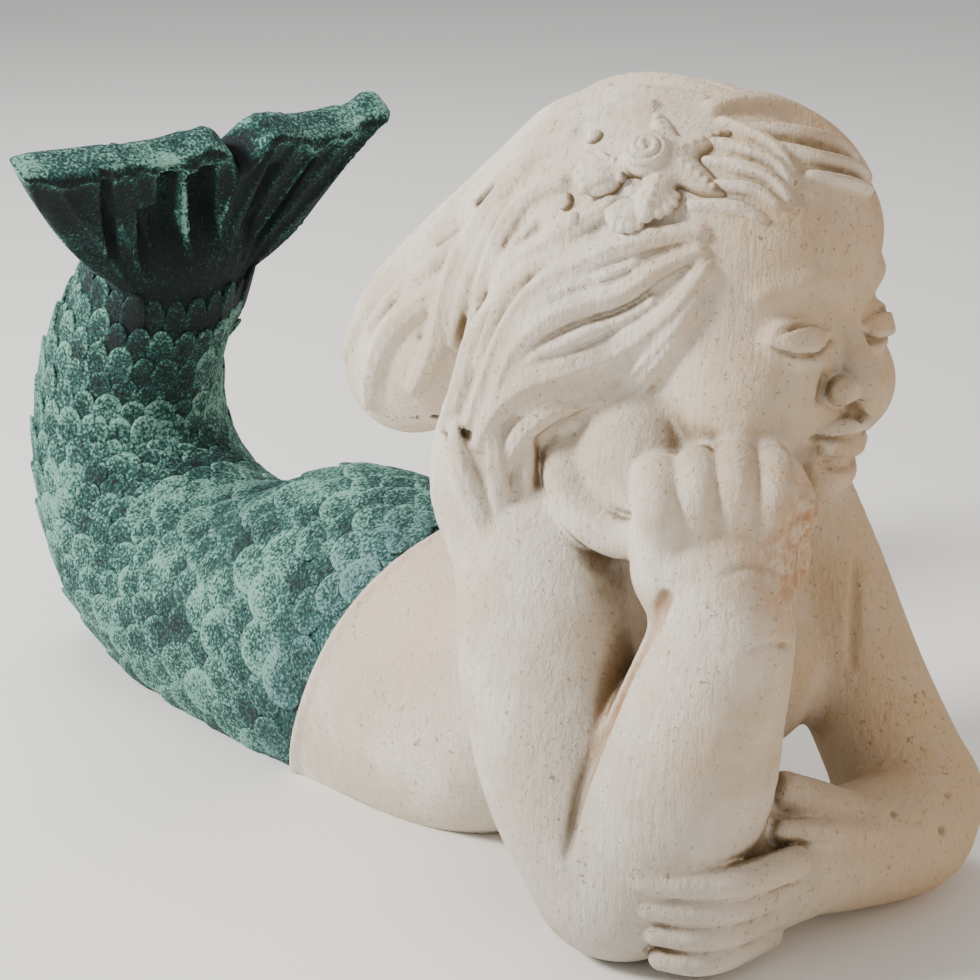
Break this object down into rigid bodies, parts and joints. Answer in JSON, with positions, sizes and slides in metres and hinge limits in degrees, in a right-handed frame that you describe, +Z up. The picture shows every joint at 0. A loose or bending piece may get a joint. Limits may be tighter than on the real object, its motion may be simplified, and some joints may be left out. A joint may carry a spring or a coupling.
{
  "type": "mermaid garden statue",
  "caption": "Cast garden statue of a mermaid lying on her front, cheek resting on a raised fist, scaled tail curled up behind to a fluted fluke.",
  "frame": {"origin": "on the ground under the middle of the statue's box, at the flat underside", "axes": "+Z up, +Y towards the tail, the face and forearms towards -Y, her right elbow at -X"},
  "size_m": [0.1914, 0.4838, 0.2952],
  "materials": {
    "painted_concrete": "matt, weathered, limewashed body and verdigris tail"
  },
  "bodies": {
    "root": {"mermaid": "painted_concrete"}
  },
  "joints": []
}
